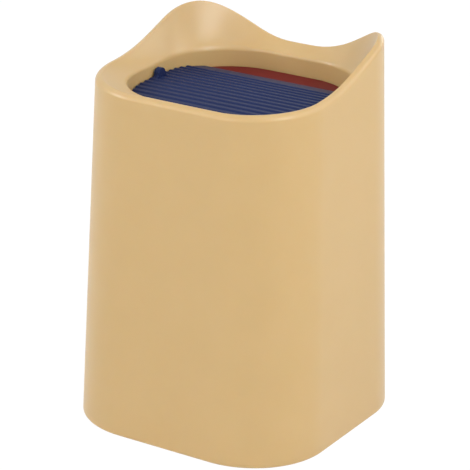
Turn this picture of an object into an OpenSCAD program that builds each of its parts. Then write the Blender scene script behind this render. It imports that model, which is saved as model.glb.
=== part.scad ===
// Countertop waste bin with a swing lid.
// A seamless tapered outer shell stands over a loose inner bucket. The shell's dished
// top ends in a throat, and a two-layer lid swings in the throat on two short pins.
// Millimetres. +Z is up, the front is -Y, and the origin is the middle of the footprint.

/* [Outer shell] */
// Width and depth of the shell where it stands on the table
base_w = 140; // [134:1:160]
// Width and depth of the shell at the tips of its two raised corners
top_w = 126.6; // [122:0.2:134]
// Height of the level part of the rim
rim_h = 184.5; // [150:0.5:230]
// How far each rear corner rises above the level rim
ear_rise = 18.5; // [6:0.5:30]
// Corner radius at the foot
foot_corner_r = 42; // [38:0.5:48]
// Corner radius at the tips of the raised corners
top_corner_r = 38.5; // [36:0.5:44]
// Wall thickness of the shell
wall = 2; // [1.6:0.1:2.6]
// Radius of the roll from the wall over to the dished top
rim_roll = 3.3; // [2.8:0.1:4.5]
// Radius of the outer edge at the foot
foot_edge_r = 1.2; // [0.4:0.1:1.5]

/* [Raised corners] */
// Place of each tip along the half outline, from the middle of the front to the middle of the rear
ear_place = 0.707; // [0.6:0.005:0.78]
// Share of the half outline over which the rim climbs from the side
ear_side_reach = 0.505; // [0.3:0.005:0.55]
// Share of the half outline over which the rim falls to the rear
ear_rear_reach = 0.266; // [0.18:0.002:0.29]
// How late the climb from the side begins, 1 for an even wave
ear_side_ease = 3; // [1:0.1:4]
// How late the fall to the rear ends, 1 for an even wave
ear_rear_ease = 1.1; // [0.8:0.1:3]

/* [Throat] */
// Width and depth of the throat that the lid swings in
throat_w = 104; // [94:0.5:106]
// Corner radius of the throat
throat_corner_r = 38; // [32:0.5:42]
// Depth from the level rim to the edge of the throat
lip_drop = 4.5; // [2:0.25:10]
// Hollowness of the dished top, 1 for a straight slope
dish_curve = 1.3; // [1:0.05:2]
// Rounding of the throat's edge
throat_edge = 2; // [0.5:0.1:3]
// Height of the throat's upright collar
collar_h = 16; // [14:0.5:26]
// Thickness of the collar
collar_wall = 1.8; // [1.2:0.1:2.4]

/* [Lid] */
// Gap between the ribbed plate and the collar
lid_gap = 1.1; // [0.9:0.05:1.6]
// How much further in the base plate ends than the ribbed plate
base_inset = 0.8; // [0.1:0.05:1]
// Depth from the throat's edge to the crown of the ribbed plate
lid_drop = 6.7; // [6:0.1:8]
// Radius of the lid's arch
arch_r = 275; // [220:5:400]
// Distance from the pivot to the straight rear edge of the ribbed plate
plate_rear = 35.4; // [32:0.2:38]
// Thickness of the ribbed plate between its ribs
plate_t = 1.6; // [1.2:0.1:2]
// Thickness of the base plate
base_t = 1.8; // [1.4:0.1:2]
// Gap between the two layers
layer_gap = 0.1; // [0.05:0.05:0.3]
// Groove between the ribbed plate's rear edge and the base plate's lip
lip_gap = 0.8; // [0.4:0.1:1.5]
// Height of the lip above the end of the base plate's arch
lip_rise = 1.1; // [0.6:0.1:1.5]
// Distance from rib to rib
rib_pitch = 4.6; // [4:0.1:6]
// Height of a rib
rib_h = 0.7; // [0.4:0.05:0.9]
// Radius of a rib's round top
rib_r = 1.5; // [1.2:0.05:1.8]
// Distance from the pivot to the last rib towards the rear
last_rib = 25.6; // [20:0.2:28]

/* [Pivot] */
// Radius of the pivot pins
pin_r = 1.5; // [1.2:0.05:1.6]
// Radial running clearance of a pin in its boss
pin_clearance = 0.06; // [0.03:0.01:0.09]
// Height of the pivot above the crown of the ribbed plate
pivot_rise = 1.5; // [1.2:0.1:2]
// Radius of the round top of each lug on the ribbed plate
lug_r = 3.2; // [2.9:0.1:3.6]
// Thickness of each lug
lug_t = 3; // [2.4:0.1:4]
// Depth of the pin's seat in the lug
pin_seat = 2.4; // [1.6:0.1:2.6]
// Radius of the boss on the collar
boss_r = 3.6; // [2.9:0.1:3.8]
// How far a pin reaches into its boss from the face of the throat
pin_reach = 3.4; // [2.4:0.1:4.5]
// How far the boss goes on past the end of the pin
boss_cover = 1; // [0.4:0.1:1.4]
// Chamfer on the outer end of a pin
pin_chamfer = 0.5; // [0.2:0.05:0.8]

/* [Lid fastenings] */
// Distance of the plate screws from the middle, side to side
plate_screw_x = 28; // [20:0.5:31]
// Distance of the front plate screws from the pivot
plate_screw_front = 28; // [20:0.5:32]
// Distance of the rear plate screws from the pivot
plate_screw_rear = 24; // [16:0.5:27]
// Radius of the screw bosses under the ribbed plate
screw_boss_r = 2.6; // [2.2:0.1:2.8]
// Radius of the seats under the base plate that the screw heads press on
screw_seat_r = 4.6; // [4.2:0.1:5]
// Depth of those seats below the underside of the arch beside them
screw_seat_drop = 1; // [0.6:0.1:1.6]
// Outer thread radius of every screw
screw_r = 1.1; // [0.9:0.05:1.2]
// Head radius of every screw
screw_head_r = 3.5; // [3.2:0.1:3.8]
// Head thickness of every screw
screw_head_t = 1.3; // [1:0.1:1.8]
// Radial gap round a screw or its boss where it passes through a hole
screw_gap = 0.2; // [0.1:0.05:0.3]
// How far a screw boss stays short of its screw's head
screw_boss_short = 0.2; // [0.1:0.05:0.3]

/* [Balance weight] */
// Length of the balance weight
weight_l = 25; // [24:1:50]
// Depth of the balance weight, front to rear
weight_w = 7; // [6:0.25:10]
// Thickness of the balance weight
weight_t = 1; // [0.8:0.05:3]
// Distance from the base plate's rear edge to the middle of the weight
weight_inset = 8.7; // [7.7:0.1:10.7]
// Distance of the weight's screws from the middle
weight_screw_x = 8.5; // [6:0.5:8.5]
// Height of the two bosses that the weight hangs from
weight_boss_h = 3; // [2.6:0.1:5]

/* [Inner bucket] */
// Gap between the bucket's rim and the inside of the shell
bucket_gap = 0.45; // [0.3:0.05:1]
// Depth from the collar's foot to the bucket's rim
bucket_drop = 1; // [0.6:0.1:4]
// Width of the flange round the bucket's rim
flange_w = 3; // [2.4:0.1:3.6]
// Height of the turned-down edge of the flange
flange_h = 6; // [4:0.5:12]
// Wall thickness of the bucket
bucket_wall = 1.6; // [1.2:0.1:2]
// How much each side of the bucket leans in from the flange to the floor
bucket_lean = 6; // [3:0.25:10]
// Radius of the edge round the bucket's floor
bucket_edge_r = 5; // [3:0.5:8]
// Radius of a foot pad
pad_r = 6; // [4:0.5:8]
// Thickness of a foot pad
pad_t = 2; // [1:0.25:3]
// Distance of each foot pad from the middle, both ways
pad_place = 32; // [24:0.5:34]

/* [Hidden] */

shell_colour = "#D5B481";
plate_colour = "#3C4261";
red_colour = "#8A2420";
bucket_colour = "#D8D3C8";
steel_colour = "#B9BCC0";
rubber_colour = "#3A3A3A";

// Steps of the outline: along each straight side and round each corner
straight_steps = 5;
shell_corner_steps = 13;
bucket_corner_steps = 8;
roll_steps = 5;
dish_steps = 6;
edge_steps = 4;
fine = 96;
arch_fn = 720;
overlap = 0.01;
// How far a cutting shape reaches past what it cuts
past = 1;

top_z = rim_h + ear_rise;
throat_z = rim_h - lip_drop;
collar_z = throat_z - collar_h;
throat_half = throat_w / 2;
// The dished skin keeps about the wall's thickness: it is moved out by the roll less the
// wall, and down by this share of the wall.
skin_down = 0.8 * wall;
// Share of the dished top's width that the rounded throat edge starts at
edge_share = 0.18;

plate_z = throat_z - lid_drop;
pivot_z = plate_z + pivot_rise;
lid_half = throat_half - lid_gap;
lid_corner_r = throat_corner_r - lid_gap;
base_half = lid_half - base_inset;
base_corner_r = lid_corner_r - base_inset;
// Outer and inner radius of the base plate's arch
base_arch_r = arch_r - plate_t - layer_gap;
base_under_r = base_arch_r - base_t;
// The base plate's arch ends at the ribbed plate's rear edge, and its flat lip starts there
arch_end_z = arch_z(plate_rear, base_arch_r);
lip_z = arch_end_z + lip_rise;
boss_l = pin_reach + boss_cover;
lug_foot_r = 2.5;
rib_count = floor((last_rib + lid_half - rib_r) / rib_pitch) + 1;

plate_screw_places = [
    for (x = [-1, 1], y = [-plate_screw_front, plate_screw_rear]) [x * plate_screw_x, y]
];
weight_y = base_half - weight_inset;
weight_screw_places = [for (x = [-1, 1]) [x * weight_screw_x, weight_y]];
weight_top_z = lip_z - base_t - weight_boss_h;
screw_point_cover = 0.6;

bucket_rim_z = collar_z - bucket_drop;
bucket_rim_half = wall_half(bucket_rim_z) - wall - bucket_gap;
bucket_rim_r = wall_corner_r(bucket_rim_z) - wall - bucket_gap;

// Half width and corner radius of the shell's outside at height z
function wall_half(z) = base_w / 2 + (top_w - base_w) / 2 * z / top_z;
function wall_corner_r(z) = foot_corner_r + (top_corner_r - foot_corner_r) * z / top_z;

// Height of an arch of radius r at distance y from the pivot; both of the lid's arches
// share one centre
function arch_z(y, r) = plate_z - arch_r + sqrt(r * r - y * y);

// A place on a rounded square is [side, on the corner?, share of that stretch], starting
// at the left end of the front and going round by the right
function places(corner_steps) = [
    for (side = [0:3]) each concat(
        [for (i = [0:straight_steps - 1]) [side, false, i / straight_steps]],
        [for (i = [0:corner_steps - 1]) [side, true, i / corner_steps]]
    )
];
function outline_point(half, r, place) =
    let (
        flat = half - r,
        along = place[1] ? flat + r * sin(90 * place[2]) : flat * (2 * place[2] - 1),
        out = place[1] ? flat + r * cos(90 * place[2]) : half,
        turn = 90 * place[0]
    )
    [along * cos(turn) + out * sin(turn), along * sin(turn) - out * cos(turn)];

// Share of the way from the middle of the front (0) to the middle of the rear (1)
function half_outline_share(place) =
    let (
        r = wall_corner_r(rim_h),
        flat = wall_half(rim_h) - r,
        quarter = 2 * flat + PI * r / 2,
        run = place[0] * quarter - flat
            + (place[1] ? 2 * flat + PI * r / 2 * place[2] : 2 * flat * place[2]),
        way = run < 0 ? -run : run
    )
    min(way, 4 * quarter - way) / (2 * quarter);

// 0 where the rim is level, 1 at the tip of a raised corner
function ear_wave(share) =
    let (
        near_side = share < ear_place,
        reach = near_side ? ear_side_reach : ear_rear_reach,
        step = max(0, 1 - abs(share - ear_place) / reach)
    )
    pow((1 - cos(180 * step)) / 2, near_side ? ear_side_ease : ear_rear_ease);
function rim_z(place) = rim_h + ear_rise * ear_wave(half_outline_share(place));

function at_height(point, z) = [point[0], point[1], z];
function mix(a, b, share) = a + (b - a) * share;
function bend(a, corner, b, t) = mix(mix(a, corner, t), mix(corner, b, t), t);

// One closed section of the shell, from the outer edge of the foot up over the rim, down
// the dished top and the collar, and back under the skin and down inside the wall
function shell_section(place) =
    let (
        top = rim_z(place),
        roll_z = top - rim_roll,
        half = wall_half(roll_z),
        r = wall_corner_r(roll_z),
        dish_out = outline_point(half - rim_roll, r - rim_roll, place),
        dish_in = outline_point(throat_half, throat_corner_r, place),
        skin_out = outline_point(half - wall, r - wall, place),
        skin_in = outline_point(throat_half + collar_wall, throat_corner_r + collar_wall, place),
        edge_top = at_height(mix(dish_in, dish_out, edge_share),
            throat_z + (top - throat_z) * pow(edge_share, dish_curve)),
        edge_corner = at_height(dish_in, throat_z),
        edge_foot = at_height(dish_in, throat_z - throat_edge),
        lip = collar_wall / 3
    )
    concat(
        [for (a = [0:45:90]) at_height(
            outline_point(wall_half(0) - foot_edge_r * (1 - sin(a)),
                wall_corner_r(0) - foot_edge_r * (1 - sin(a)), place),
            foot_edge_r * (1 - cos(a)))],
        [for (i = [0:roll_steps]) let (a = 90 * i / roll_steps) at_height(
            outline_point(half - rim_roll * (1 - cos(a)), r - rim_roll * (1 - cos(a)), place),
            roll_z + rim_roll * sin(a))],
        [for (i = [1:dish_steps - 1])
            let (share = 1 - (1 - edge_share) * i / dish_steps)
            at_height(mix(dish_in, dish_out, share),
                throat_z + (top - throat_z) * pow(share, dish_curve))],
        [for (i = [0:edge_steps]) bend(edge_top, edge_corner, edge_foot, i / edge_steps)],
        [
            at_height(dish_in, collar_z + lip),
            at_height(mix(dish_in, skin_in, 1 / 3), collar_z),
            at_height(mix(dish_in, skin_in, 2 / 3), collar_z),
            at_height(skin_in, collar_z + lip)
        ],
        [for (i = [0:dish_steps])
            let (share = i / dish_steps)
            at_height(mix(skin_in, skin_out, share),
                throat_z - skin_down + (top - throat_z) * pow(share, dish_curve))],
        [
            at_height(outline_point(wall_half(0) - wall, wall_corner_r(0) - wall, place), lip),
            at_height(outline_point(wall_half(0) - wall + lip, wall_corner_r(0) - wall + lip,
                place), 0)
        ]
    );

// Two triangles for each cell between section i and section j
function cell_faces(i, j, n, k) =
    let (m = (k + 1) % n)
    [[i * n + k, i * n + m, j * n + m], [i * n + k, j * n + m, j * n + k]];

// Closed ring of equal sections
module section_ring(sections) {
    n = len(sections[0]);
    count = len(sections);
    polyhedron(
        points = [for (s = sections) each s],
        faces = [for (i = [0:count - 1], k = [0:n - 1]) each cell_faces(i, (i + 1) % count, n, k)],
        convexity = 8
    );
}

// Solid from a stack of rounded squares, each [half width, corner radius, height], closed
// at both ends by a fan round its middle
module level_stack(levels, spots) {
    n = len(spots);
    last = len(levels) - 1;
    middle = (last + 1) * n;
    polyhedron(
        points = concat(
            [for (v = levels, s = spots) at_height(outline_point(v[0], v[1], s), v[2])],
            [[0, 0, levels[0][2]], [0, 0, levels[last][2]]]
        ),
        faces = concat(
            [for (k = [0:n - 1]) [k, (k + 1) % n, middle]],
            [for (i = [0:last - 1], k = [0:n - 1]) each cell_faces(i + 1, i, n, k)],
            [for (k = [0:n - 1]) [last * n + (k + 1) % n, last * n + k, middle + 1]]
        ),
        convexity = 6
    );
}

// Flat rounded square made of true arcs
module rounded_square(half, r) {
    square([2 * half, 2 * (half - r)], center = true);
    square([2 * (half - r), 2 * half], center = true);
    for (x = [-1, 1], y = [-1, 1])
        translate([x * (half - r), y * (half - r)])
            circle(r = r, $fn = 4 * fine);
}

// Upright prism of the lid's outline, cut off behind rear
module lid_blank(half, r, rear) {
    translate([0, 0, collar_z - collar_h])
        linear_extrude(3 * collar_h)
            intersection() {
                rounded_square(half, r);
                translate([-half - past, -half - past])
                    square([2 * (half + past), half + past + rear]);
            }
}

// Runs a side view, drawn as [y, z], from one side of the lid to the other
module across(half) {
    translate([-half - past, 0, 0])
        rotate([90, 0, 90])
            linear_extrude(2 * (half + past))
                children();
}

// Side view of an arched layer between two radii, from the front to rear
module arch_layer(outer, inner, rear) {
    intersection() {
        translate([0, plate_z - arch_r])
            difference() {
                circle(r = outer, $fn = arch_fn);
                circle(r = inner, $fn = arch_fn);
            }
        translate([-lid_half - past, collar_z - collar_h])
            square([lid_half + past + rear, 3 * collar_h]);
    }
}

// Side view of the ribs' round tops, cut off below the middle of the ribbed plate
module rib_tops() {
    translate([0, plate_z - arch_r])
        difference() {
            for (i = [0:rib_count - 1])
                rotate(-asin((last_rib - i * rib_pitch) / arch_r))
                    translate([0, arch_r + rib_h - rib_r])
                        circle(r = rib_r, $fn = fine);
            circle(r = arch_r - plate_t / 2, $fn = arch_fn);
        }
}

// Round top and hollow flanks of a lug, drawn round the pivot as [y, z]
module lug_shape() {
    foot = lug_r + lug_foot_r;
    difference() {
        union() {
            circle(r = lug_r, $fn = fine);
            translate([-foot, -pivot_rise - plate_t / 2])
                square([2 * foot, plate_t / 2 + lug_foot_r]);
        }
        for (y = [-1, 1])
            translate([y * foot, lug_foot_r - pivot_rise])
                circle(r = lug_foot_r, $fn = fine);
    }
}

// Cylinder along X that starts at x and grows away from the middle on the given side
module sideways(side, x, length, r) {
    translate([side * x, 0, pivot_z])
        rotate([0, side * 90, 0])
            cylinder(h = length, r = r, $fn = fine);
}

module outer_shell() {
    color(shell_colour)
        difference() {
            union() {
                section_ring([for (p = places(shell_corner_steps)) shell_section(p)]);
                for (side = [-1, 1])
                    sideways(side, throat_half + collar_wall / 2, boss_l - collar_wall / 2, boss_r);
            }
            for (side = [-1, 1])
                sideways(side, throat_half - past, boss_l + 2 * past, pin_r + pin_clearance);
        }
}

module ribbed_plate() {
    color(plate_colour)
        difference() {
            union() {
                intersection() {
                    lid_blank(lid_half, lid_corner_r, plate_rear);
                    across(lid_half)
                        union() {
                            arch_layer(arch_r, arch_r - plate_t, plate_rear);
                            rib_tops();
                        }
                }
                for (side = [-1, 1])
                    translate([side * (lid_half - lug_t / 2) - lug_t / 2, 0, pivot_z])
                        rotate([90, 0, 90])
                            linear_extrude(lug_t)
                                lug_shape();
                for (p = plate_screw_places)
                    let (foot = screw_seat_z(p[1]) + screw_boss_short)
                    translate([p[0], p[1], foot])
                        cylinder(h = arch_z(p[1], arch_r - plate_t / 2) - foot, r = screw_boss_r,
                            $fn = fine);
            }
            for (side = [-1, 1])
                sideways(side, lid_half - pin_seat, pin_seat + past, pin_r);
            for (p = plate_screw_places)
                let (start = screw_seat_z(p[1]) - past)
                translate([p[0], p[1], start])
                    cylinder(h = arch_z(p[1], arch_r) - screw_point_cover - start, r = screw_r,
                        $fn = fine);
        }
}

// Height of the flat seat that a plate screw's head presses on
function screw_seat_z(y) =
    arch_z(abs(y) + screw_seat_r, base_under_r) - screw_seat_drop;

module base_plate() {
    color(red_colour)
        difference() {
            union() {
                intersection() {
                    lid_blank(base_half, base_corner_r, base_half + past);
                    across(base_half)
                        union() {
                            arch_layer(base_arch_r, base_under_r, plate_rear);
                            translate([plate_rear - overlap, arch_end_z - base_t])
                                square([overlap + lip_gap + base_t, base_t]);
                            translate([plate_rear + lip_gap, lip_z - base_t])
                                square([base_half - plate_rear + past, base_t]);
                        }
                }
                for (p = plate_screw_places)
                    let (seat = screw_seat_z(p[1]))
                    translate([p[0], p[1], seat])
                        cylinder(h = arch_z(p[1], base_arch_r - base_t / 2) - seat,
                            r = screw_seat_r, $fn = fine);
                for (p = weight_screw_places)
                    translate([p[0], p[1], weight_top_z])
                        cylinder(h = weight_boss_h + base_t / 2, r = screw_boss_r, $fn = fine);
            }
            for (p = plate_screw_places)
                let (start = screw_seat_z(p[1]) - past)
                translate([p[0], p[1], start])
                    cylinder(h = plate_z - start, r = screw_boss_r + screw_gap, $fn = fine);
            for (p = weight_screw_places)
                let (start = weight_top_z - past)
                translate([p[0], p[1], start])
                    cylinder(h = lip_z - screw_point_cover - start, r = screw_r, $fn = fine);
        }
}

// Stub pin, pressed into the lug. The lid is bowed to spring the two pins into the bosses.
module pivot_pin(side) {
    start = lid_half - pin_seat;
    end = throat_half + pin_reach;
    color(steel_colour)
        union() {
            sideways(side, start, end - pin_chamfer - start, pin_r);
            translate([side * (end - pin_chamfer), 0, pivot_z])
                rotate([0, side * 90, 0])
                    cylinder(h = pin_chamfer, r1 = pin_r, r2 = pin_r - pin_chamfer, $fn = fine);
        }
}

// Pan head screw, its head below z = 0 and its shank above, with a cross recess
module screw(length) {
    slot = 0.8;
    difference() {
        union() {
            translate([0, 0, -screw_head_t])
                cylinder(h = screw_head_t, r = screw_head_r, $fn = fine);
            cylinder(h = length, r = screw_r, $fn = fine);
        }
        translate([0, 0, -screw_head_t])
            for (turn = [0, 90])
                rotate(turn)
                    cube([screw_head_r, slot, screw_head_t], center = true);
    }
}

module plate_screws() {
    color(steel_colour)
        for (p = plate_screw_places)
            let (seat = screw_seat_z(p[1]))
            translate([p[0], p[1], seat])
                screw(arch_z(p[1], arch_r) - screw_point_cover - seat);
}

module balance_weight() {
    color(steel_colour)
        difference() {
            translate([-weight_l / 2, weight_y - weight_w / 2, weight_top_z - weight_t])
                cube([weight_l, weight_w, weight_t]);
            for (p = weight_screw_places)
                translate([p[0], p[1], weight_top_z - weight_t - past])
                    cylinder(h = weight_t + 2 * past, r = screw_r + screw_gap, $fn = fine);
        }
}

module weight_screws() {
    color(steel_colour)
        for (p = weight_screw_places)
            translate([p[0], p[1], weight_top_z - weight_t])
                screw(lip_z - screw_point_cover - weight_top_z + weight_t);
}

// Half width and corner radius of the bucket's outside, inset from its flange
function bucket_level(inset, z) = [bucket_rim_half - inset, bucket_rim_r - inset, z];

module inner_bucket() {
    top = bucket_rim_z;
    outside = flange_w;
    inside = flange_w + bucket_wall;
    foot = flange_w + bucket_lean;
    lip = bucket_wall / 4;
    floor_top = pad_t + bucket_wall;
    color(bucket_colour)
        level_stack([
            for (a = [0:30:90])
                bucket_level(foot + bucket_edge_r * (1 - sin(a)),
                    pad_t + bucket_edge_r * (1 - cos(a))),
            bucket_level(outside, top - bucket_wall),
            bucket_level(bucket_wall, top - bucket_wall),
            bucket_level(bucket_wall, top - flange_h),
            bucket_level(0, top - flange_h),
            bucket_level(0, top - lip),
            bucket_level(lip, top),
            bucket_level(inside - lip, top),
            bucket_level(inside, top - lip),
            for (a = [90:-30:0])
                bucket_level(foot + bucket_wall + (bucket_edge_r - bucket_wall) * (1 - sin(a)),
                    floor_top + (bucket_edge_r - bucket_wall) * (1 - cos(a)))
        ], places(bucket_corner_steps));
}

module foot_pads() {
    color(rubber_colour)
        for (x = [-1, 1], y = [-1, 1])
            translate([x * pad_place, y * pad_place, 0])
                union() {
                    cylinder(h = pad_t / 2, r = pad_r - pad_t / 4, $fn = fine);
                    translate([0, 0, pad_t / 2])
                        cylinder(h = pad_t / 2, r = pad_r, $fn = fine);
                }
}

outer_shell();
inner_bucket();
foot_pads();
ribbed_plate();
base_plate();
pivot_pin(-1);  // pivot_pin_left
pivot_pin(1);  // pivot_pin_right
plate_screws();
balance_weight();
weight_screws();
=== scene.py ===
import math
import bmesh
import bpy
from mathutils import Matrix, Quaternion, Vector


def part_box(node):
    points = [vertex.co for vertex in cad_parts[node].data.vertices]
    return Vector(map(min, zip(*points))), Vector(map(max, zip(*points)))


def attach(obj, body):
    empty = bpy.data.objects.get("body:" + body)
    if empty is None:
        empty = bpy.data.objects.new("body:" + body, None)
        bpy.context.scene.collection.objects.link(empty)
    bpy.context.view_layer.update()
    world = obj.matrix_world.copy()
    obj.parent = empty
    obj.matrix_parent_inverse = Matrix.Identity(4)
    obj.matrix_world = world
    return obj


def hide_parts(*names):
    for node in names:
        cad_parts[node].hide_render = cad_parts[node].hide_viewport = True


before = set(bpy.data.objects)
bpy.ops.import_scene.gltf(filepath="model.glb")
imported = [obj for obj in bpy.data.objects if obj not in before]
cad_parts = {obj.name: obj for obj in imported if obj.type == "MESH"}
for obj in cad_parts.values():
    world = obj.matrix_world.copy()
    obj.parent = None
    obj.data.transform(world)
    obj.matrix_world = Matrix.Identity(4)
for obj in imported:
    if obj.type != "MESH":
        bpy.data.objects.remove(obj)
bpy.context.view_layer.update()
scene = bpy.context.scene
scene.view_settings.view_transform = "Standard"

# All lengths are in metres. The front is -Y, and the bin stands on Z = 0.
overshoot = 0.001               # how far a cutter reaches past the faces that it cuts


# sRGB hex to the linear values that Blender's sockets take
def colour(hexText):
    parts = [int(hexText[i:i + 2], 16) / 255 for i in (1, 3, 5)]
    return [p / 12.92 if p <= 0.04045 else ((p + 0.055) / 1.055) ** 2.4 for p in parts] + [1.0]


# Adds one node. An input given as another node's output socket becomes a link; given as a node,
# it is linked to that node's first output.
def addNode(tree, kind, inputs=None, **settings):
    node = tree.nodes.new(kind)
    for name, value in settings.items():
        setattr(node, name, value)
    for key, value in (inputs or {}).items():
        if isinstance(value, bpy.types.Node):
            value = value.outputs[0]
        if isinstance(value, bpy.types.NodeSocket):
            tree.links.new(value, node.inputs[key])
        else:
            node.inputs[key].default_value = value
    return node


# Plain mesh with its faces turned outwards
def closedMesh(name, points, faces):
    mesh = bpy.data.meshes.new(name)
    mesh.from_pydata(points, [], faces)
    work = bmesh.new()
    work.from_mesh(mesh)
    bmesh.ops.recalc_face_normals(work, faces=work.faces)
    work.to_mesh(mesh)
    work.free()
    return mesh


def placeObject(name, data):
    piece = bpy.data.objects.new(name, data)
    scene.collection.objects.link(piece)
    return piece


# Replaces an object by a plain one that has what its modifiers show
def settle(source, name):
    bpy.context.view_layer.update()
    shown = source.evaluated_get(bpy.context.evaluated_depsgraph_get())
    mesh = bpy.data.meshes.new_from_object(shown)
    source.modifiers.clear()
    bpy.data.objects.remove(source)
    return placeObject(name, mesh)


# Empty node tree with a geometry socket on each side, the named inputs and the material
def newGeometryTree(name, numbers, others=()):
    tree = bpy.data.node_groups.new(name, "GeometryNodeTree")
    inputs = [("Geometry", "Geometry"), *others, *((label, "Float") for label in numbers),
              ("Material", "Material")]
    for label, kind in inputs:
        tree.interface.new_socket(label, in_out="INPUT", socket_type="NodeSocket" + kind)
    tree.interface.new_socket("Geometry", in_out="OUTPUT", socket_type="NodeSocketGeometry")
    return tree, addNode(tree, "NodeGroupInput").outputs


# Every tree ends the same way: real geometry with its material set
def endGeometryTree(tree, geometry, material):
    real = addNode(tree, "GeometryNodeRealizeInstances", {"Geometry": geometry})
    painted = addNode(tree, "GeometryNodeSetMaterial", {"Geometry": real, "Material": material})
    addNode(tree, "NodeGroupOutput", {"Geometry": painted})


# Runs a node tree on a mesh; its inputs are found by name and set by identifier
def grow(name, mesh, tree, values):
    source = placeObject(name + "Source", mesh)
    modifier = source.modifiers.new("grow", "NODES")
    modifier.node_group = tree
    for socket in tree.interface.items_tree:
        if socket.in_out == "INPUT" and socket.name in values:
            modifier[socket.identifier] = values[socket.name]
    return settle(source, name)


# Joins solids on to a piece, and then cuts others out of it
def carve(piece, name, adds, cuts):
    tools = []
    for operation, parts in (("UNION", adds), ("DIFFERENCE", cuts)):
        for part in parts:
            tool = placeObject(name + "Tool", part)
            modifier = piece.modifiers.new("carve", "BOOLEAN")
            modifier.operation = operation
            modifier.object = tool
            tools.append(tool)
    piece = settle(piece, name)
    for tool in tools:
        bpy.data.objects.remove(tool)
    return piece


# Narrow rounding along the edges that are sharper than the angle
def roundEdges(piece, name, width, degrees=40):
    modifier = piece.modifiers.new("round", "BEVEL")
    modifier.width = width
    modifier.segments = 3
    modifier.limit_method = "ANGLE"
    modifier.angle_limit = math.radians(degrees)
    return settle(piece, name)


# A finished piece is shaded smooth, except at edges sharper than the angle. It takes the place of
# its node, on the node's body.
def finishPiece(piece, degrees, body, slot, *nodes):
    piece.data.shade_smooth()
    piece.data.set_sharp_from_angle(angle=math.radians(degrees))
    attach(piece, body)
    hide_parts(*nodes)
    print(piece.name, "is made, with", len(piece.data.polygons), "faces")


# Points of an arc as (a, b) pairs; angles in degrees from the direction of a
def arc(centre, radius, start, end, steps):
    turns = [math.radians(start + (end - start) * i / steps) for i in range(steps + 1)]
    return [(centre[0] + radius * math.cos(t), centre[1] + radius * math.sin(t)) for t in turns]


# Faces between rings of points that follow one another, with the same number of points in each
def ringFaces(rings, count):
    return [(low + i, low + (i + 1) % count, low + count + (i + 1) % count, low + count + i)
            for low in range(0, (rings - 1) * count, count) for i in range(count)]


# Solid of revolution about Z from a profile of (radius, height) between two ends on the axis
def turnedSolid(name, profile, steps):
    rows = profile[1:-1]
    points = [(r * math.cos(2 * math.pi * i / steps), r * math.sin(2 * math.pi * i / steps), z)
              for r, z in rows for i in range(steps)]
    faces = ringFaces(len(rows), steps)
    for (_, z), row in ((profile[0], 0), (profile[-1], len(rows) - 1)):
        faces += [(len(points), row * steps + i, row * steps + (i + 1) % steps) for i in range(steps)]
        points.append((0, 0, z))
    return closedMesh(name, points, faces)


# Upright rod at (x, y)
def rod(name, x, y, low, high, radius, steps=48):
    mesh = turnedSolid(name, [(0, low), (radius, low), (radius, high), (0, high)], steps)
    mesh.transform(Matrix.Translation((x, y, 0)))
    return mesh


# Rod along X at the height z, growing away from the middle on the given side
def crossRod(name, side, z, start, end, radius, steps=64):
    mesh = rod(name, 0, 0, start, end, radius, steps)
    mesh.transform(Matrix.Translation((0, 0, z)) @ Matrix.Rotation(side * math.pi / 2, 4, "Y"))
    return mesh


# A place on a rounded square is (side, on the corner?, share of that stretch), starting at the
# left end of the front and going round by the right
def outlinePlaces(straightSteps, cornerSteps):
    return [(side, corner, i / steps) for side in range(4)
            for corner, steps in ((False, straightSteps), (True, cornerSteps)) for i in range(steps)]


def outlinePoint(half, radius, place, height):
    side, corner, share = place
    flat = half - radius
    turn = math.radians(90 * share)
    along = flat + radius * math.sin(turn) if corner else flat * (2 * share - 1)
    out = flat + radius * math.cos(turn) if corner else half
    angle = side * math.pi / 2
    return Vector((along * math.cos(angle) + out * math.sin(angle),
                   along * math.sin(angle) - out * math.cos(angle), height))


# Direction away from the object: azimuth from straight in front towards the right, in degrees
def outward(azimuth, elevation):
    a, e = math.radians(azimuth), math.radians(elevation)
    return Vector((math.sin(a) * math.cos(e), -math.cos(a) * math.cos(e), math.sin(e)))


cameraView = {
    "target": Vector((0, 0, 0.1)),
    "azimuth": 31.762,
    "elevation": 20.701,
    "roll": 0.974,
    "distance": 1.26463,
    "lens": 186.12,             # in millimetres, as is the sensor
    "sensor": 36,
    "shift": (-0.00649, -0.01747),
    "nearest": 0.05,
}


def setCamera():
    away = outward(cameraView["azimuth"], cameraView["elevation"])
    data = bpy.data.cameras.new("camera")
    data.lens = cameraView["lens"]
    data.sensor_width = cameraView["sensor"]
    data.shift_x, data.shift_y = cameraView["shift"]
    data.clip_start = cameraView["nearest"]
    camera = placeObject("camera", data)
    camera.rotation_mode = "QUATERNION"
    roll = Quaternion((0, 0, 1), math.radians(cameraView["roll"]))
    camera.rotation_quaternion = away.to_track_quat("Z", "Y") @ roll
    camera.location = cameraView["target"] + away * cameraView["distance"]
    scene.camera = camera


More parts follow.
